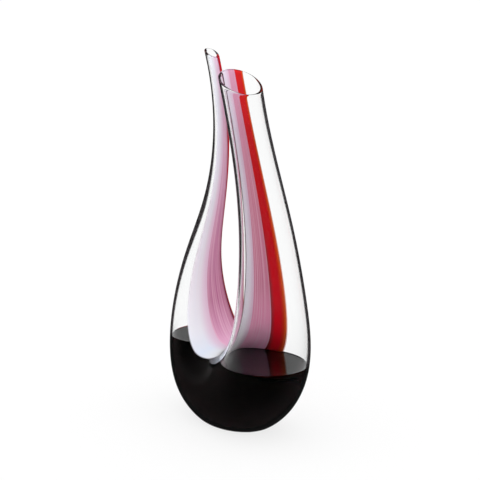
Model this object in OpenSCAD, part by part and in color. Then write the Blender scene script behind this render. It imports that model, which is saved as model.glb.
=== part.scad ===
// Wine decanter: one blown glass tube bent into a U. The wide arm is the mouth
// that it is filled through, the slim arm is the pouring spout, and the bend
// between them is the round bulb that it stands on. Ribbons of coloured glass
// are laid flush into the outside of the clear wall, on the side of each arm
// that faces the other, and run from rim to rim over the crotch of the U.
// Origin: centre of the flat base. +X: towards the mouth arm. +Z: up.

/* [Vessel] */
// Height from the flat base to the top of the spout's middle line
height = 340; // [300:1:400]
// Wall thickness of the clear glass
wall = 2.2; // [1.8:0.1:3]

/* [Rims] */
// Slant of the spout's cut, high on the side away from the mouth
spout_slant = 48; // [0:1:55]
// Slant of the mouth's cut, high on the side towards the spout
mouth_slant = 43; // [0:1:45]

/* [Ribbons] */
// Depth of the coloured glass in the wall
ribbon_depth = 0.8; // [0.4:0.1:1.2]

/* [Wine] */
// Height of the wine's surface above the table, in a decanter of the drawn height
wine_level = 69; // [69:1:120]
// Gap between the wine and the glass
wine_gap = 0.15; // [0.05:0.05:0.3]

/* [Hidden] */

// Height that the control points of the tube are drawn for
drawn_height = 340;
scale_up = height / drawn_height;

// Control points of the tube from the spout to the mouth, for a smooth cubic curve:
// [x, z, radius in the plane of the U, radius across it]
tube = scale_up * [
    [-85.5, 408, 8, 7.5],
    [-37, 340.5, 6.2, 5.4],
    [-19.5, 270, 7.2, 7.2],
    [-34.5, 203, 9.2, 9.4],
    [-64.5, 144, 16, 17],
    [-67.5, 82, 29, 30.5],
    [-40.5, 33, 38, 44.5],
    [17.5, 24.5, 42, 44.5],
    [64, 67.5, 39, 40.5],
    [67.5, 124, 28.5, 32.5],
    [58.5, 189, 24, 24.5],
    [35.5, 252, 18.5, 18.5],
    [8.5, 319, 15, 18.8],
    [-6.5, 383, 22.5, 24],
];

// Angles of the ribbons' edges at the same control points. 0 faces the other arm
// and 90 faces +Y.
white_edge = [-90, -82, -68, -62, -59, -57, -44, -34, -40, -34, -34, -38, -36, -34];
pink_edge = [-14, -14, -11, -13, -12, -13, -5, -6, -7, -5, -8, -6, -7, -8];
red_edge = [2, 8, 17, 41, 51, 50, 42, 36, 32, 27, 22, 20, 12, 9];
orange_edge = [52, 52, 52, 60, 67, 66, 60, 53, 48, 46, 41, 40, 29, 25];
clear_edge = [60, 60, 60, 68, 75, 73, 67, 61, 57, 55, 50, 46, 35, 31];

// Curve spans, and the rings of points along the whole tube
spans = len(tube) - 3;
rings = 56;
// Facets round the clear part of a ring and across each ribbon
clear_facets = 26;
white_facets = 4;
pink_facets = 4;
red_facets = 3;
orange_facets = 1;
ribbon_facets = white_facets + pink_facets + red_facets + orange_facets;
// How far the slant of each rim reaches down its arm, in curve spans
slant_reach = 2;
// Curve position at the bottom of the U, and spans either side that hold the wine's edge
bottom_u = spans / 2;
wine_reach = 4;
wine_rings = 26;
wine_facets = 40;
// Height of the wine's surface at the chosen height, and the halvings that find where
// the tube crosses it
level = scale_up * wine_level;
halvings = 24;
// Block that takes away the bulb's underside below the table
below_table = [200, 140, 20];

// Cubic B-spline weights of four neighbouring control points, and their slopes
function weights(t) =
    [pow(1 - t, 3), 3 * pow(t, 3) - 6 * t * t + 4, -3 * pow(t, 3) + 3 * t * t + 3 * t + 1, pow(t, 3)] / 6;
function slopes(t) = [-pow(1 - t, 2), 3 * t * t - 4 * t, -3 * t * t + 2 * t + 1, t * t] / 2;
function span_of(u) = max(0, min(spans - 1, floor(u)));
function four(list, u) = [for (k = [0:3]) list[span_of(u) + k]];
function along(list, u) = weights(u - span_of(u)) * four(list, u);
function heading(u) = slopes(u - span_of(u)) * four(tube, u);
function speed(u) = norm([heading(u)[0], heading(u)[1]]);

// Curve position moved along the tube so that the rims are cut on a slant
function cut_shift(end_u, slant, a, inset) = (along(tube, end_u)[2] - inset) * cos(a) * tan(slant) / speed(end_u);
function fade(distance) = pow(max(0, 1 - distance / slant_reach), 2);
function slanted(u, a, inset) =
    u + fade(u) * cut_shift(0, spout_slant, a, inset) + fade(spans - u) * cut_shift(spans, mouth_slant, a, inset);

// The bulb's underside is flat. The outside is cut off at height 0, and every surface
// inside the wall stays at least its own depth above that.
function settled(h, inset) = inset > 0 ? max(inset, h) : h;

// Point on the tube at curve position u and angle a, this far inside the outer surface
function tube_point(u, a, inset) =
    let (c = along(tube, u), d = heading(u) / speed(u), r = c[2] - inset)
    [c[0] - r * cos(a) * d[1], (c[3] - inset) * sin(a), settled(c[1] + r * cos(a) * d[0], inset)];

// Even steps from one angle to the next
function steps(from, to, n) = [for (k = [0:n]) from + (to - from) * k / n];

function ring_u(i) = i * spans / rings;
function ring_points(u, angles, inset) = [for (a = angles) tube_point(slanted(u, a, inset), a, inset)];

// Two triangles for each cell between neighbouring columns of points on consecutive rings
function sheet(columns, count, stride, flip = false) = [
    for (i = [0:count - 2], j = [0:len(columns) - 2], half = [0, 1])
    let (p = columns[j] + i * stride, q = columns[j + 1] + i * stride, r = q + stride, s = p + stride)
    let (f = half == 0 ? [p, q, r] : [p, r, s])
    flip ? [f[0], f[2], f[1]] : f
];
// Triangles that join two rows of points of the same length
function strip(a, b, flip) = [
    for (j = [0:len(a) - 2], half = [0, 1])
    let (f = half == 0 ? [a[j], a[j + 1], b[j + 1]] : [a[j], b[j + 1], b[j]])
    flip ? [f[0], f[2], f[1]] : f
];
function turned(faces, flip) = [for (f = faces) flip ? [f[0], f[2], f[1]] : f];
// Whole numbers from one to another, and a list of them moved on
function count_up(from, to) = [for (k = [from:to]) k];
function moved(list, by) = [for (v = list) v + by];

// Band of coloured glass from rim to rim, between two edges, flush with the outside
module ribbon(from_edge, to_edge, facets) {
    columns = facets + 1;
    stride = 2 * columns;
    points = [
        for (i = [0:rings])
        let (u = ring_u(i), angles = steps(along(from_edge, u), along(to_edge, u), facets))
        each concat(ring_points(u, angles, 0), ring_points(u, angles, ribbon_depth))
    ];
    outside = count_up(0, facets);
    inside = moved(outside, columns);
    last = rings * stride;
    faces = concat(
        sheet(outside, rings + 1, stride),
        sheet(inside, rings + 1, stride, true),
        sheet([0, columns], rings + 1, stride, true),
        sheet([facets, facets + columns], rings + 1, stride),
        strip(outside, inside, true),
        strip(moved(outside, last), moved(inside, last), false)
    );
    polyhedron(points, faces, convexity = 8);
}

// End of the clear vessel at one rim: the wall's cut face, with the step down into the groove
function rim_faces(first, flip) =
    let (
        clear = moved(count_up(0, clear_facets), first),
        groove = moved(count_up(clear_facets + 1, clear_facets + 1 + ribbon_facets), first),
        bore_first = first + clear_facets + ribbon_facets + 2,
        bore = moved(count_up(0, clear_facets), bore_first),
        bore_groove = concat(moved(count_up(clear_facets, clear_facets + ribbon_facets - 1), bore_first), [bore_first]),
        n = clear_facets,
        steps_at_edges = [
            [clear[1], bore[1], bore[0]],
            [clear[1], bore[0], groove[ribbon_facets]],
            [clear[1], groove[ribbon_facets], clear[0]],
            [clear[n - 1], clear[n], groove[0]],
            [clear[n - 1], groove[0], bore[n]],
            [clear[n - 1], bore[n], bore[n - 1]],
        ]
    )
    concat(
        strip([for (k = [1:n - 1]) clear[k]], [for (k = [1:n - 1]) bore[k]], flip),
        strip(groove, bore_groove, flip),
        turned(steps_at_edges, flip)
    );

// Clear glass tube, with the shallow groove that the ribbons lie in
module clear_vessel() {
    outer_count = clear_facets + ribbon_facets + 2;
    bore_count = clear_facets + ribbon_facets;
    stride = outer_count + bore_count;
    points = [
        for (i = [0:rings])
        let (
            u = ring_u(i),
            clear = steps(along(clear_edge, u), along(white_edge, u) + 360, clear_facets),
            white = steps(along(white_edge, u), along(pink_edge, u), white_facets),
            pink = steps(along(pink_edge, u), along(red_edge, u), pink_facets),
            red = steps(along(red_edge, u), along(orange_edge, u), red_facets),
            orange = steps(along(orange_edge, u), along(clear_edge, u), orange_facets),
            groove = concat(
                [for (k = [0:white_facets - 1]) white[k]],
                [for (k = [0:pink_facets - 1]) pink[k]],
                [for (k = [0:red_facets - 1]) red[k]],
                orange
            ),
            bore = concat(clear, [for (k = [1:ribbon_facets - 1]) groove[k]])
        )
        each concat(ring_points(u, clear, 0), ring_points(u, groove, ribbon_depth), ring_points(u, bore, wall))
    ];
    outside = concat(count_up(0, outer_count - 1), [0]);
    bore = moved(concat(count_up(0, bore_count - 1), [0]), outer_count);
    faces = concat(
        sheet(outside, rings + 1, stride),
        sheet(bore, rings + 1, stride, true),
        rim_faces(0, true),
        rim_faces(rings * stride, false)
    );
    color([0.86, 0.9, 0.93, 0.45])
    difference() {
        polyhedron(points, faces, convexity = 12);
        translate([-below_table[0] / 2, -below_table[1] / 2, -below_table[2]]) cube(below_table);
    }
}

module white_ribbon() {
    color([0.92, 0.9, 0.96]) ribbon(white_edge, pink_edge, white_facets);
}

module pink_ribbon() {
    color([0.82, 0.47, 0.62]) ribbon(pink_edge, red_edge, pink_facets);
}

module red_ribbon() {
    color([0.74, 0.08, 0.14]) ribbon(red_edge, orange_edge, red_facets);
}

module orange_ribbon() {
    color([0.8, 0.27, 0.13]) ribbon(orange_edge, clear_edge, orange_facets);
}

// Curve position between low_u (under the wine's surface) and high_u (over it) where
// the bore, at one angle, meets that surface
function surface_u(a, low_u, high_u, n = halvings) =
    let (middle = (low_u + high_u) / 2)
    n == 0 ? middle :
    tube_point(middle, a, wall + wine_gap)[2] < level ?
        surface_u(a, middle, high_u, n - 1) :
        surface_u(a, low_u, middle, n - 1);

// Wine that fills the bulb, with a level surface in each arm
module wine() {
    angles = [for (k = [0:wine_facets - 1]) 360 * k / wine_facets];
    ends = [
        for (a = angles)
        [surface_u(a, bottom_u, bottom_u - wine_reach), surface_u(a, bottom_u, bottom_u + wine_reach)]
    ];
    skin = [
        for (j = [0:wine_rings], k = [0:wine_facets - 1])
        let (
            u = ends[k][0] + (ends[k][1] - ends[k][0]) * j / wine_rings,
            p = tube_point(u, angles[k], wall + wine_gap)
        )
        [p[0], p[1], j == 0 || j == wine_rings ? level : p[2]]
    ];
    spout_x = (skin[0][0] + skin[wine_facets / 2][0]) / 2;
    last = wine_rings * wine_facets;
    mouth_x = (skin[last][0] + skin[last + wine_facets / 2][0]) / 2;
    points = concat(skin, [[spout_x, 0, level], [mouth_x, 0, level]]);
    round = concat(count_up(0, wine_facets - 1), [0]);
    faces = concat(
        sheet(round, wine_rings + 1, wine_facets),
        [for (k = [0:wine_facets - 1]) [round[k + 1], round[k], len(skin)]],
        [for (k = [0:wine_facets - 1]) [last + round[k], last + round[k + 1], len(skin) + 1]]
    );
    color([0.16, 0.01, 0.04]) polyhedron(points, faces, convexity = 6);
}

clear_vessel();
white_ribbon();
pink_ribbon();
red_ribbon();
orange_ribbon();
wine();
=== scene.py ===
from math import cos, pi, radians, sin, tan

import bpy
import numpy as np
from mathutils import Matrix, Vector


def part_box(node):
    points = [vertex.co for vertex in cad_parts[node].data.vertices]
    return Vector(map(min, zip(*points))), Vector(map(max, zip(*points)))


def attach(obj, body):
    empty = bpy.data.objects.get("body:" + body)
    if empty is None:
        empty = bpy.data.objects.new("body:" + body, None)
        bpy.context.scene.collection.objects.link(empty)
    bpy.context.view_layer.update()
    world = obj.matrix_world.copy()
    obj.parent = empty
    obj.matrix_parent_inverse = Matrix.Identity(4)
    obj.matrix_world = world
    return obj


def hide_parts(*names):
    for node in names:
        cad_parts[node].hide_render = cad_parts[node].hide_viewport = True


# Looks of the wine decanter: one blown tube bent into a U, ribbons of coloured glass in
# its wall, and the wine. The tube's formulas are the part's own, in millimetres, and MM
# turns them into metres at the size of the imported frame.

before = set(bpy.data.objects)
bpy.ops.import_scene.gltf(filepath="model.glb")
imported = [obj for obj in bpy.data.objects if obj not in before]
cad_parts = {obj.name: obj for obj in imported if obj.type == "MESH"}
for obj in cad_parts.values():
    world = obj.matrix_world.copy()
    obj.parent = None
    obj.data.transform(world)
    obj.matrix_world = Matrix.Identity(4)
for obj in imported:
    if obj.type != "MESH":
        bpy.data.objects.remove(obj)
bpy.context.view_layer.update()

# ------------------------------------------------------------------ the tube's shape

DRAWN_TOP = 343.54  # top of the drawn tube, in mm
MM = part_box("clear_vessel")[1].z / DRAWN_TOP
WALL = 2.2
WINE_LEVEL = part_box("wine")[1].z / MM

# Control points from the spout to the mouth: x, z, radius in the U's plane, radius across
TUBE = np.array([
    [-85.5, 408, 8, 7.5],
    [-37, 340.5, 6.2, 5.4],
    [-19.5, 270, 7.2, 7.2],
    [-34.5, 203, 9.2, 9.4],
    [-64.5, 144, 16, 17],
    [-67.5, 82, 29, 30.5],
    [-40.5, 33, 38, 44.5],
    [17.5, 24.5, 42, 44.5],
    [64, 67.5, 39, 40.5],
    [67.5, 124, 28.5, 32.5],
    [58.5, 189, 24, 24.5],
    [35.5, 252, 18.5, 18.5],
    [8.5, 319, 15, 18.8],
    [-6.5, 383, 22.5, 24],
], float)
SPANS = len(TUBE) - 3

# Where each ribbon begins, and the clear glass after them, in degrees at the same points: 0
# faces the other arm, 90 faces +Y
EDGES = {
    "white": [-90, -82, -68, -62, -59, -57, -44, -34, -40, -34, -34, -38, -36, -34],
    "pink": [-14, -14, -11, -13, -12, -13, -5, -6, -7, -5, -8, -6, -7, -8],
    "red": [2, 8, 17, 41, 51, 50, 42, 36, 32, 27, 22, 20, 12, 9],
    "orange": [52, 52, 52, 60, 67, 66, 60, 53, 48, 46, 41, 40, 29, 25],
    "clear": [60, 60, 60, 68, 75, 73, 67, 61, 57, 55, 50, 46, 35, 31],
}

# Slant of each rim, and how far down the arm it reaches in curve spans
SPOUT_SLANT = radians(48)
MOUTH_SLANT = radians(43)
SLANT_REACH = 2

# The flat base meets the bulb in a soft corner, within this height of the table
FOOT_SOFT = 1.5


def spline(values, u, slope=False):
    """Cubic B-spline of the control values, or its slope, at curve positions u."""
    values = np.asarray(values, float)
    u = np.asarray(u, float)
    span = np.clip(np.floor(u), 0, SPANS - 1).astype(int)
    t = u - span
    if slope:
        weights = [
            -((1 - t) ** 2) / 2,
            (3 * t**2 - 4 * t) / 2,
            (-3 * t**2 + 2 * t + 1) / 2,
            t**2 / 2,
        ]
    else:
        weights = [
            (1 - t) ** 3 / 6,
            (3 * t**3 - 6 * t**2 + 4) / 6,
            (-3 * t**3 + 3 * t**2 + 3 * t + 1) / 6,
            t**3 / 6,
        ]
    if values.ndim > 1:
        weights = [w[..., None] for w in weights]
    return sum(w * values[span + k] for k, w in enumerate(weights))


def speed(u):
    """Millimetres along the tube per curve span."""
    heading = spline(TUBE[:, :2], u, slope=True)
    return np.hypot(heading[..., 0], heading[..., 1])


def slanted(u, a, inset):
    """Curve position moved along the tube so that the rims are cut on a slant."""
    def shift(end, slant):
        return (spline(TUBE[:, 2], end) - inset) * np.cos(a) * tan(slant) / speed(end)

    def fade(distance):
        return np.maximum(0, 1 - distance / SLANT_REACH) ** 2

    return u + fade(u) * shift(0, SPOUT_SLANT) + fade(SPANS - u) * shift(SPANS, MOUTH_SLANT)


def flattened(height):
    eased = np.clip(height + FOOT_SOFT, 0, None) ** 2 / (4 * FOOT_SOFT)
    return np.where(height > FOOT_SOFT, height, eased)


def tube_point(u, a, inset):
    """Points on the tube at curve positions u and angles a, this far inside the outside."""
    centre = spline(TUBE, u)
    heading = spline(TUBE[:, :2], u, slope=True) / speed(u)[..., None]
    radius = centre[..., 2] - inset
    x = centre[..., 0] - radius * np.cos(a) * heading[..., 1]
    y = (centre[..., 3] - inset) * np.sin(a)
    z = centre[..., 1] + radius * np.cos(a) * heading[..., 0]
    return np.stack([x, y, inset + flattened(z - inset)], -1)


def ring(u, a, inset):
    """Points round the slanted ring that sits at curve position u."""
    return tube_point(slanted(u, a, inset), a, inset)


# ------------------------------------------------------------------ meshes


def signed_volume(points, faces):
    """Volume of a closed mesh of quads and triangles, negative if it is inside out."""
    total = 0.0
    for f in faces:
        a, b, c = points[f[0]], points[f[1]], points[f[2]]
        total += np.dot(a, np.cross(b, c))
        if len(f) == 4:
            total += np.dot(a, np.cross(c, points[f[3]]))
    return total / 6


def make_piece(name, points, faces, material, slot, replaced, sharp=None, **channels):
    """Closed mesh in millimetres, with its material, riding on the CAD body."""
    if signed_volume(points, faces) < 0:
        faces = [f[::-1] for f in faces]
    mesh = bpy.data.meshes.new(name)
    mesh.from_pydata((points * MM).tolist(), [], faces)
    mesh.polygons.foreach_set("use_smooth", [True] * len(mesh.polygons))
    if sharp is not None:
        mesh.set_sharp_from_angle(angle=sharp)
    for name_of_channel, values in channels.items():
        layer = mesh.attributes.new(name_of_channel, "FLOAT", "POINT")
        layer.data.foreach_set("value", values.astype(np.float32))
    mesh.materials.append(material)
    piece = bpy.data.objects.new(name, mesh)
    bpy.context.scene.collection.objects.link(piece)
    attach(piece, "root")
    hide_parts(replaced)
    return piece


def quads(rows, columns, wrap_rows, wrap_columns):
    """Faces of a grid of points that are numbered row by row."""
    faces = []
    for i in range(rows if wrap_rows else rows - 1):
        for j in range(columns if wrap_columns else columns - 1):
            i2, j2 = (i + 1) % rows, (j + 1) % columns
            faces.append([r * columns + c for r, c in ((i, j), (i, j2), (i2, j2), (i2, j))])
    return faces


# ------------------------------------------------------------------ nodes


def new_material(name):
    material = bpy.data.materials.new(name)
    material.use_nodes = True
    material.node_tree.nodes.clear()
    return material, material.node_tree


def add(tree, kind, **settings):
    """A node, with settings on its own properties and, by number or name, its inputs."""
    node = tree.nodes.new(kind)
    for key, value in settings.pop("inputs", {}).items():
        if isinstance(value, bpy.types.NodeSocket):
            tree.links.new(value, node.inputs[key])
        else:
            node.inputs[key].default_value = value
    for key, value in settings.items():
        setattr(node, key, value)
    return node


def calc(tree, operation, a, b=0.0, clamp=False):
    """One sum, product or the like of two values or sockets."""
    node = add(tree, "ShaderNodeMath", operation=operation, use_clamp=clamp, inputs={0: a, 1: b})
    return node.outputs[0]


def smooth_step(tree, value, start, end, low=0.0, high=1.0):
    """Goes from low to high, softly, while value goes from start to end."""
    node = add(tree, "ShaderNodeMapRange", interpolation_type="SMOOTHSTEP", inputs={
        "Value": value,
        "From Min": start,
        "From Max": end,
        "To Min": low,
        "To Max": high,
    })
    return node.outputs["Result"]


# A Mix node's sockets for colours, which share their names with those for numbers
MIX_A, MIX_B, MIX_RESULT = 6, 7, 2


def mix_colour(tree, factor, a, b):
    node = add(tree, "ShaderNodeMix", data_type="RGBA", inputs={"Factor": factor})
    for place, value in ((MIX_A, a), (MIX_B, b)):
        if isinstance(value, bpy.types.NodeSocket):
            tree.links.new(value, node.inputs[place])
        else:
            node.inputs[place].default_value = value
    return node.outputs[MIX_RESULT]


def channel(tree, name):
    """One of the values that make_piece stores on a mesh's points."""
    return add(tree, "ShaderNodeAttribute", attribute_name=name).outputs["Fac"]


def step_along(tree, start, end, low=0.0, high=1.0):
    """Soft step along a ribbon, from the spout's rim at 0 to the mouth's at 1."""
    return smooth_step(tree, channel(tree, "along"), start, end, low, high)


def step_across(tree, start, end, low=0.0, high=1.0):
    """Soft step across a ribbon, from its first edge at 0 to its second at 1."""
    return smooth_step(tree, channel(tree, "across"), start, end, low, high)


def mix_shaders(tree, factor, first, second):
    node = add(tree, "ShaderNodeMixShader", inputs={0: factor, 1: first, 2: second})
    return node.outputs[0]


def finish_material(tree, surface, volume=None):
    out = add(tree, "ShaderNodeOutputMaterial", inputs={"Surface": surface})
    if volume is not None:
        tree.links.new(volume, out.inputs["Volume"])


def grey(value):
    return (value, value, value, 1)


# ------------------------------------------------------------------ clear glass

GLASS_IOR = 1.5
GLASS_TINT = (0.972, 0.975, 0.975, 1)
# Painted shade: the dark colour the glass takes where the line of sight runs along inside the wall,
# drawing its dark outline
PAINTED_EDGE_SHADE = (0.0016, 0.0012, 0.0014, 1)
EDGE_SOFT = 0.05
# The painted dark outline is this many wall thicknesses wide on the spout's arm and on the
# mouth's, and changes from one to the other between these shares of the tube's length
EDGE_WIDTH = 1.45, 1.2
EDGE_CHANGES = 0.2, 0.5
# It grows over the first degrees away from the ribbons. Round the crotch, which is this far
# along the tube in spans and reaches this far, it begins this many degrees further away
EDGE_GROWS = 14
CROTCH = 6.2
CROTCH_REACH = 1.9
CROTCH_FADE = 130
# The lips get the painted dark outline of shade as well, from this facing on, outside and inside
SPOUT_LIP_FACING = 0.75, 0.5
MOUTH_LIP_FACING = 0.72, 0.25
# Facing goes up to 1, so a surface with this never darkens
NEVER_FACING = 2.0
# Share of plain glass's head-on shine that is kept, so that it doesn't mirror the studio
GLASS_SHINE = grey(0.03)


def clear_glass():
    material, tree = new_material("clear_glass")
    facing = add(tree, "ShaderNodeLayerWeight", inputs={"Blend": 0.5}).outputs["Facing"]
    # Painted shade: past each point's edge facing, and away from the ribbons, the glass turns to the
    # dark outline colour
    past = calc(tree, "SUBTRACT", facing, channel(tree, "edge_facing"))
    edge = calc(tree, "MULTIPLY", smooth_step(tree, past, -EDGE_SOFT, EDGE_SOFT),
                smooth_step(tree, channel(tree, "from_ribbon"), 0.0, EDGE_GROWS))
    shader = add(tree, "ShaderNodeBsdfPrincipled", inputs={
        "Base Color": mix_colour(tree, edge, GLASS_TINT, PAINTED_EDGE_SHADE),
        "Transmission Weight": 1.0,
        "Roughness": 0.0,
        "IOR": GLASS_IOR,
        "Specular Tint": GLASS_SHINE,
    })
    finish_material(tree, shader.outputs[0])
    return material


def from_ribbons(u, angles):
    """Degrees round the tube from the nearest ribbon, less on the inner side near the crotch."""
    low, high = spline(EDGES["white"], u), spline(EDGES["clear"], u)
    turned = (np.degrees(angles) - (low + high) / 2 + 180) % 360 - 180
    # 1 over the half that faces the other arm and a little beyond it, 0 on the outer side
    inner_side = np.clip(0.5 + 2 * np.cos(angles), 0, 1)
    fade = CROTCH_FADE * inner_side * np.exp(-(((u - CROTCH) / CROTCH_REACH) ** 2))
    return np.abs(turned) - (high - low) / 2 - fade


VESSEL_RINGS = 260
VESSEL_COLUMNS = 128
RIM_STEPS = 8


def vessel():
    """The clear tube: outside, fire-polished round rims and bore, as one closed skin."""
    lip = WALL / 2
    turn = np.linspace(-pi / 2, pi / 2, RIM_STEPS + 1)[1:-1]
    rim_inset = lip + lip * np.sin(turn)
    rim_depth = lip - lip * np.cos(turn)
    spout_lip, mouth_lip = lip / speed(0), lip / speed(SPANS)
    along = np.linspace(spout_lip, SPANS - mouth_lip, VESSEL_RINGS)
    rows = [(u, 0.0) for u in along]
    rows += [(SPANS - d / speed(SPANS), i) for d, i in zip(rim_depth, rim_inset)]
    rows += [(u, WALL) for u in along[::-1]]
    rows += [(d / speed(0), i) for d, i in zip(rim_depth[::-1], rim_inset[::-1])]
    angles = np.linspace(0, 2 * pi, VESSEL_COLUMNS, endpoint=False)
    points = np.concatenate([ring(np.full_like(angles, u), angles, i) for u, i in rows])
    # Facing from which each ring takes the painted dark outline of shade, and its distance round from
    # the ribbons
    edge_facing, from_ribbon = [], []
    for u, inset in rows:
        width = np.interp(u / SPANS, EDGE_CHANGES, EDGE_WIDTH) * WALL
        edge_share = 1 - width / spline(TUBE[:, 2], u)
        outside_facing = 1 - np.sqrt(1 - edge_share**2)
        lip_facings = SPOUT_LIP_FACING if u < SPANS / 2 else MOUTH_LIP_FACING
        lip_facing = np.interp(inset / WALL, (0, 1), lip_facings)
        facing = {0.0: outside_facing, WALL: NEVER_FACING}.get(inset, lip_facing)
        edge_facing.append(np.full_like(angles, facing))
        from_ribbon.append(from_ribbons(u, angles))
    faces = quads(len(rows), VESSEL_COLUMNS, True, True)
    return make_piece("glass_vessel", points, faces, clear_glass(), "clear_glass", "clear_vessel",
                      edge_facing=np.concatenate(edge_facing), from_ribbon=np.concatenate(from_ribbon))


# ------------------------------------------------------------------ coloured ribbons

# The faces that carry a ribbon's colour stand a hair proud of the wall on both sides
RIBBON_PROUD = 0.04
# Where the ribbon's last rings lie on the rounded lips, in mm below the rim
LIP_RINGS = (0.2, 0.3, 0.45, 0.65, 0.85)
# Edges of a mesh that turn by more than this aren't smoothed over
RIBBON_CREASE = radians(40)
WINE_CREASE = radians(50)


def ribbon(name, from_edge, to_edge, columns, material):
    """Closed band of coloured glass through the wall, from rim to rim."""
    lip = WALL / 2
    below_rim = np.array(LIP_RINGS)
    along = np.concatenate([
        below_rim / speed(0),
        np.linspace(lip / speed(0), SPANS - lip / speed(SPANS), VESSEL_RINGS),
        SPANS - below_rim[::-1] / speed(SPANS),
    ])
    rows = len(along)
    # On the rounded lips both faces follow the curve
    below = np.full(rows, lip)
    below[:len(below_rim)] = below_rim
    below[rows - len(below_rim):] = below_rim[::-1]
    sink = lip - np.sqrt(lip**2 - (lip - below) ** 2) - RIBBON_PROUD
    share = np.linspace(0, 1, columns + 1)
    low, high = spline(EDGES[from_edge], along), spline(EDGES[to_edge], along)
    angles = np.radians(low[:, None] + (high - low)[:, None] * share)
    u = np.broadcast_to(along[:, None], angles.shape)
    top = ring(u, angles, sink[:, None])
    bottom = ring(u, angles, WALL - sink[:, None])
    points = np.concatenate([top, bottom[:, ::-1]], 1)
    around = points.shape[1]
    faces = quads(rows, around, False, True)
    last = (rows - 1) * around
    for j in range(columns):
        cap = [j, j + 1, around - 2 - j, around - 1 - j]
        faces += [cap[::-1], [last + k for k in cap]]
    across = np.broadcast_to(np.concatenate([share, share[::-1]]), (rows, around))
    height = np.broadcast_to((along / SPANS)[:, None], (rows, around))
    return make_piece(f"{name}_band", points.reshape(-1, 3), faces, material,
                      f"{name}_glass", f"{name}_ribbon", sharp=RIBBON_CREASE,
                      across=across.ravel(), along=height.ravel())


def ramp(tree, factor, stops):
    """Colours at given places from 0 to 1."""
    node = add(tree, "ShaderNodeValToRGB", inputs={0: factor})
    points = node.color_ramp.elements
    for place, colour in stops[2:]:
        points.new(place)
    for point, (place, colour) in zip(points, stops):
        point.position = place
        point.color = (*colour, 1)
    return node.outputs[0]


# Streaks drawn out along the ribbons: how often they change along the tube, how soft they
# are, and between which values of the noise they fade in
STREAK_STRETCH = 3
STREAK_DETAIL = 3.0
STREAK_ROUGHNESS = 0.55
STREAK_FADE = 0.38, 0.68


def streaked(tree, stops, fine, seed, lighter, share):
    """Colour along a ribbon, mixed towards a lighter one in streaks."""
    place = add(tree, "ShaderNodeCombineXYZ", inputs={
        0: calc(tree, "MULTIPLY", channel(tree, "across"), fine),
        1: calc(tree, "MULTIPLY", channel(tree, "along"), STREAK_STRETCH),
        2: seed,
    })
    noise = add(tree, "ShaderNodeTexNoise", inputs={
        "Vector": place.outputs[0],
        "Scale": 1.0,
        "Detail": STREAK_DETAIL,
        "Roughness": STREAK_ROUGHNESS,
    })
    streak = smooth_step(tree, noise.outputs["Fac"], *STREAK_FADE, 0.0, share)
    return mix_colour(tree, streak, ramp(tree, channel(tree, "along"), stops), lighter)


# Share of the light that the coloured glass scatters back rather than on, and its shine
SCATTER_BACK = 0.6
RIBBON_SHINE = grey(0.12)
RIBBON_ROUGH = 0.03
# How far each ribbon hides what is behind it where it is densest
WHITE_COVER = 0.95
PINK_COVER = 0.93
RED_COVER = 0.95
ORANGE_COVER = 0.93


def coloured_glass(name, colour, cover):
    """Glass that is partly clear and partly scatters light, with a shine."""
    material, tree = new_material(name)
    shade, hiding = colour(tree), cover(tree)
    tint = mix_colour(tree, hiding, grey(1), shade)
    clear = add(tree, "ShaderNodeBsdfTransparent", inputs={"Color": tint}).outputs[0]
    back = add(tree, "ShaderNodeBsdfDiffuse", inputs={"Color": shade}).outputs[0]
    on = add(tree, "ShaderNodeBsdfTranslucent", inputs={"Color": shade}).outputs[0]
    shine = add(tree, "ShaderNodeBsdfGlossy", inputs={
        "Color": RIBBON_SHINE,
        "Roughness": RIBBON_ROUGH,
    }).outputs[0]
    fresnel = add(tree, "ShaderNodeFresnel", inputs={"IOR": GLASS_IOR}).outputs[0]
    milky = mix_shaders(tree, SCATTER_BACK, on, back)
    glazed = mix_shaders(tree, fresnel, milky, shine)
    finish_material(tree, mix_shaders(tree, hiding, clear, glazed))
    return material


# Colours along the ribbons, from the spout's rim at 0 to the mouth's at 1
WHITE_STOPS = [
    (0, (0.9, 0.92, 0.97)),
    (0.1, (0.88, 0.86, 0.95)),
    (0.2, (0.82, 0.76, 0.83)),
    (0.3, (0.9, 0.84, 0.91)),
    (0.38, (0.92, 0.91, 0.97)),
    (0.46, (0.8, 0.87, 1)),
    (0.52, (0.92, 0.95, 1)),
    (0.62, (0.99, 0.97, 1)),
    (0.7, (0.98, 0.9, 0.99)),
    (1, (0.9, 0.76, 0.9)),
]
PINK_STOPS = [
    (0, (0.86, 0.62, 0.8)),
    (0.1, (0.82, 0.54, 0.7)),
    (0.2, (0.64, 0.27, 0.44)),
    (0.33, (0.56, 0.2, 0.35)),
    (0.42, (0.86, 0.44, 0.66)),
    (0.52, (1, 0.58, 0.82)),
    (0.62, (1, 0.5, 0.72)),
    (0.69, (0.9, 0.34, 0.54)),
    (0.75, (0.71, 0.24, 0.37)),
    (0.88, (0.8, 0.28, 0.4)),
    (1, (0.76, 0.32, 0.5)),
]
RED_STOPS = [
    (0, (0.6, 0.01, 0.025)),
    (0.5, (0.5, 0.005, 0.012)),
    (0.64, (0.85, 0.005, 0.02)),
    (0.8, (0.72, 0.006, 0.014)),
    (1, (0.78, 0.03, 0.03)),
]
# The lighter colours of their streaks
ICE_WHITE = (0.9, 0.9, 1, 1)
PALE_PINK = (0.97, 0.66, 0.8, 1)
BRIGHT_RED = (0.75, 0.012, 0.03, 1)
# Colours where one ribbon runs into the next, two of them painted shade, and the two edges of the
# orange one
BLUSH = (0.84, 0.54, 0.72, 1)
# Painted shade: the pink darkening towards the red on the spout's side, and the thin dark line it ends
# in
PAINTED_SHADE_PINK = (0.45, 0.1, 0.2, 1)
PAINTED_SHADE_LINE = (0.08, 0.006, 0.015, 1)
BROWN_RED = (0.3, 0.035, 0.05, 1)
ORANGE_RED = (0.75, 0.03, 0.012, 1)
ORANGE = (0.8, 0.16, 0.03, 1)


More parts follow.
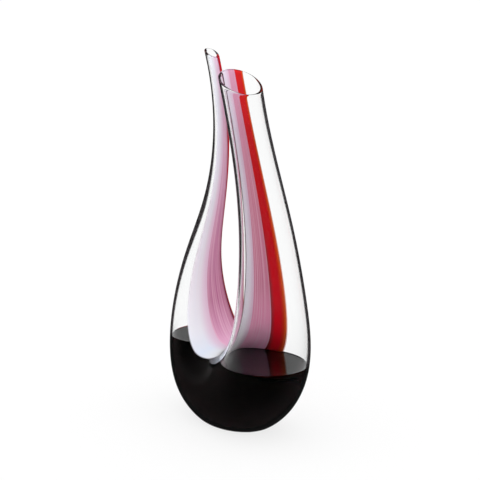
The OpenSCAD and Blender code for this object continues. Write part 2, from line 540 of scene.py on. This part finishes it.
def white_glass():
    def colour(tree):
        base = streaked(tree, WHITE_STOPS, fine=9, seed=1, lighter=ICE_WHITE, share=0.4)
        return mix_colour(tree, step_across(tree, 0.5, 1.0, 0.0, 0.75), base, BLUSH)

    def cover(tree):
        # Its outer edge is soft in both arms and firm on the bulb
        begin = calc(tree, "ADD", step_along(tree, 0.12, 0.3, 0.08, 0.0),
                     step_along(tree, 0.66, 0.74, 0.0, 0.1))
        end = calc(tree, "MAXIMUM", step_along(tree, 0.2, 0.36, 0.3, 0.07),
                   step_along(tree, 0.5, 0.62, 0.07, 0.22))
        return step_across(tree, begin, end, 0.0, WHITE_COVER)

    return coloured_glass("white_glass", colour, cover)


def pink_glass():
    def colour(tree):
        base = streaked(tree, PINK_STOPS, fine=16, seed=5, lighter=PALE_PINK, share=0.6)
        # Painted shade: on the spout's side it darkens towards the red, into a thin dark line
        spout_side = step_along(tree, 0.38, 0.46, 1.0, 0.0)
        painted_shade = calc(tree, "MULTIPLY", step_across(tree, 0.5, 0.95, 0.0, 0.6), spout_side)
        line = calc(tree, "MULTIPLY", step_across(tree, 0.84, 0.98, 0.0, 0.95),
                    step_along(tree, 0.16, 0.3))
        line = calc(tree, "MULTIPLY", line, spout_side)
        return mix_colour(tree, line, mix_colour(tree, painted_shade, base, PAINTED_SHADE_PINK), PAINTED_SHADE_LINE)

    return coloured_glass("pink_glass", colour, lambda tree: PINK_COVER)


def red_glass():
    def colour(tree):
        base = streaked(tree, RED_STOPS, fine=12, seed=9, lighter=BRIGHT_RED, share=0.5)
        # Where it overlaps the pink it is darker and browner
        overlap = calc(tree, "MULTIPLY", step_across(tree, 0.05, 0.4, 1.0, 0.0),
                       step_along(tree, 0.72, 0.9, 0.75, 0.0))
        return mix_colour(tree, overlap, base, BROWN_RED)

    return coloured_glass("red_glass", colour, lambda tree: RED_COVER)


def orange_glass():
    def colour(tree):
        return mix_colour(tree, step_across(tree, 0.2, 0.9), ORANGE_RED, ORANGE)

    def cover(tree):
        # It thins out into the clear glass
        return step_across(tree, 0.6, 1.0, ORANGE_COVER, 0.1)

    return coloured_glass("orange_glass", colour, cover)


# ------------------------------------------------------------------ wine

WINE_COLUMNS = 112
WINE_RINGS = 90
# The wine reaches this far into the wall, so that no film of air is left between them
WINE_BITE = 0.15
# How far up each arm its surface is looked for, in spans, and in how many halvings
WINE_REACH = 4
HALVINGS = 30
# It climbs this far up the glass, and falls off over this distance from it
MENISCUS = 0.7
MENISCUS_WIDTH = 0.8
# Distances from the wall of the surface's outer rings, then shares of the way to the centre
NEAR_WALL = (0.25, 0.5, 0.8, 1.2, 1.7, 2.4, 3.4, 5.0)
TO_CENTRE = (0.3, 0.6, 0.85)
WINE_IOR = 1.34
WINE_SHINE = grey(0.03)
# What it lets through, and how strongly it takes the rest away, per metre
WINE_COLOUR = (0.5, 0.03, 0.08, 1)
WINE_DENSITY = 6000


def red_wine():
    material, tree = new_material("red_wine")
    shader = add(tree, "ShaderNodeBsdfPrincipled", inputs={
        "Base Color": (1, 1, 1, 1),
        "Transmission Weight": 1.0,
        "Roughness": 0.0,
        "IOR": WINE_IOR,
        "Specular Tint": WINE_SHINE,
    })
    volume = add(tree, "ShaderNodeVolumeAbsorption", inputs={
        "Color": WINE_COLOUR,
        "Density": WINE_DENSITY,
    })
    finish_material(tree, shader.outputs[0], volume.outputs[0])
    return material


def surface_edge(angles, towards):
    """Curve positions where the bore meets the top of the meniscus, up one arm."""
    low = np.full_like(angles, SPANS / 2)
    high = np.full_like(angles, SPANS / 2 + towards * WINE_REACH)
    for _ in range(HALVINGS):
        middle = (low + high) / 2
        under = tube_point(middle, angles, WALL - WINE_BITE)[..., 2] < WINE_LEVEL + MENISCUS
        low, high = np.where(under, middle, low), np.where(under, high, middle)
    return low


def wine():
    """Wine in the bulb, with a meniscus round its surface in each arm."""
    angles = np.linspace(0, 2 * pi, WINE_COLUMNS, endpoint=False)
    ends = surface_edge(angles, -1), surface_edge(angles, 1)
    share = np.linspace(0, 1, WINE_RINGS)[:, None]
    u = ends[0] + (ends[1] - ends[0]) * share
    skin = tube_point(u, np.broadcast_to(angles, u.shape), WALL - WINE_BITE)
    points = [skin.reshape(-1, 3)]
    faces = quads(WINE_RINGS, WINE_COLUMNS, False, True)
    count = skin.shape[0] * WINE_COLUMNS
    for edge, first, flip in ((skin[0], 0, True), (skin[-1], count - WINE_COLUMNS, False)):
        centre = (edge.max(0) + edge.min(0)) / 2
        width = np.linalg.norm((edge - centre)[:, :2], axis=1)
        shares = [1 - d / width for d in NEAR_WALL]
        shares += [shares[-1] * (1 - k) for k in TO_CENTRE]
        previous = first
        for s in shares:
            level = centre + (edge - centre) * s[:, None]
            level[:, 2] = WINE_LEVEL + MENISCUS * np.exp(-(1 - s) * width / MENISCUS_WIDTH)
            points.append(level)
            for j in range(WINE_COLUMNS):
                k = (j + 1) % WINE_COLUMNS
                face = [previous + j, previous + k, count + k, count + j]
                faces.append(face[::-1] if flip else face)
            previous, count = count, count + WINE_COLUMNS
        points.append(np.array([[centre[0], centre[1], WINE_LEVEL]]))
        for j in range(WINE_COLUMNS):
            face = [previous + j, previous + (j + 1) % WINE_COLUMNS, count]
            faces.append(face[::-1] if flip else face)
        count += 1
    return make_piece("wine_fill", np.concatenate(points), faces, red_wine(), "red_wine", "wine",
                      sharp=WINE_CREASE)


# ------------------------------------------------------------------ studio

# The lamps give this many times the light of the pale surroundings that are seen
STUDIO_LIGHT = 1.9
# Reflections of the studio in the glass are held down, as a polariser does
MIRRORED_FLOOR = 0.03
MIRRORED_WALLS = 0.12
FLOOR_GLOW = 0.8
FLOOR_PAINT = 0.111
# In metres. It lies a hair below the base, so that the two don't share a plane
FLOOR_RADIUS = 12
FLOOR_DROP = 0.0003
FLOOR_SIDES = 96
# Brightness of the studio against height: backdrop, soft walls and bright ceiling
BACKDROP = 1.0
WALLS = 0.6
CEILING = 1.46
BACKDROP_TOP = sin(radians(7)), sin(radians(14))
CEILING_EDGE = sin(radians(36)), sin(radians(46))


def dimmed(tree, share):
    """1 for what is seen, this share where it is mirrored, STUDIO_LIGHT where it lights a surface."""
    path = add(tree, "ShaderNodeLightPath").outputs
    lights = calc(tree, "MINIMUM", path["Diffuse Depth"], 1.0)
    mirrored = calc(tree, "SUBTRACT", path["Is Reflection Ray"], lights, clamp=True)
    seen = calc(tree, "SUBTRACT", 1.0, calc(tree, "MULTIPLY", mirrored, 1 - share))
    return calc(tree, "ADD", seen, calc(tree, "MULTIPLY", lights, STUDIO_LIGHT - 1))


def floor():
    material, tree = new_material("pale_floor")
    light = dimmed(tree, MIRRORED_FLOOR)
    glow = add(tree, "ShaderNodeEmission", inputs={
        "Color": grey(1), "Strength": calc(tree, "MULTIPLY", light, FLOOR_GLOW)}).outputs[0]
    paint = add(tree, "ShaderNodeBsdfDiffuse", inputs={
        "Color": mix_colour(tree, light, grey(0), grey(FLOOR_PAINT))}).outputs[0]
    finish_material(tree, add(tree, "ShaderNodeAddShader", inputs={0: glow, 1: paint}).outputs[0])
    points = [
        (FLOOR_RADIUS * cos(turn), FLOOR_RADIUS * sin(turn), -FLOOR_DROP)
        for turn in np.linspace(0, 2 * pi, FLOOR_SIDES, endpoint=False)
    ]
    mesh = bpy.data.meshes.new("floor")
    mesh.from_pydata(points, [], [list(range(FLOOR_SIDES))])
    mesh.materials.append(material)
    disc = bpy.data.objects.new("floor", mesh)
    bpy.context.scene.collection.objects.link(disc)


def studio():
    world = bpy.data.worlds.new("studio")
    world.use_nodes = True
    tree = world.node_tree
    tree.nodes.clear()
    place = add(tree, "ShaderNodeTexCoord").outputs["Generated"]
    height = add(tree, "ShaderNodeSeparateXYZ", inputs={0: place}).outputs["Z"]
    lower = smooth_step(tree, height, *BACKDROP_TOP, BACKDROP, WALLS)
    upper = smooth_step(tree, height, *CEILING_EDGE, 0.0, CEILING - WALLS)
    strength = calc(tree, "MULTIPLY", calc(tree, "ADD", lower, upper), dimmed(tree, MIRRORED_WALLS))
    back = add(tree, "ShaderNodeBackground", inputs={"Color": grey(1), "Strength": strength}).outputs[0]
    add(tree, "ShaderNodeOutputWorld", inputs={"Surface": back})
    bpy.context.scene.world = world


# Where the camera stands round and above the decanter, and what it looks at, in mm
CAMERA_TURN = radians(60)
CAMERA_RISE = radians(13.15)
CAMERA_DISTANCE = 1500
CAMERA_TARGET = (-3.5, 0, 167)
CAMERA_LENS = 122.4
CAMERA_SHIFT = (0.0151, 0.0101)


def camera():
    data = bpy.data.cameras.new("camera")
    data.lens = CAMERA_LENS
    data.shift_x, data.shift_y = CAMERA_SHIFT
    back = Vector((
        sin(CAMERA_TURN) * cos(CAMERA_RISE),
        -cos(CAMERA_TURN) * cos(CAMERA_RISE),
        sin(CAMERA_RISE),
    ))
    viewer = bpy.data.objects.new("camera", data)
    viewer.location = (Vector(CAMERA_TARGET) + back * CAMERA_DISTANCE) * MM
    viewer.rotation_euler = back.to_track_quat("Z", "Y").to_euler()
    bpy.context.scene.collection.objects.link(viewer)
    bpy.context.scene.camera = viewer


def light_paths():
    """Enough bounces for the walls of both arms, and plain colours."""
    scene = bpy.context.scene
    scene.cycles.max_bounces = 32
    scene.cycles.transmission_bounces = 32
    scene.cycles.glossy_bounces = 12
    scene.cycles.diffuse_bounces = 6
    scene.cycles.transparent_max_bounces = 32
    scene.view_settings.view_transform = "Standard"


vessel()
ribbon("white", from_edge="white", to_edge="pink", columns=20, material=white_glass())
ribbon("pink", from_edge="pink", to_edge="red", columns=20, material=pink_glass())
ribbon("red", from_edge="red", to_edge="orange", columns=14, material=red_glass())
ribbon("orange", from_edge="orange", to_edge="clear", columns=6, material=orange_glass())
wine()
floor()
studio()
camera()
light_paths()
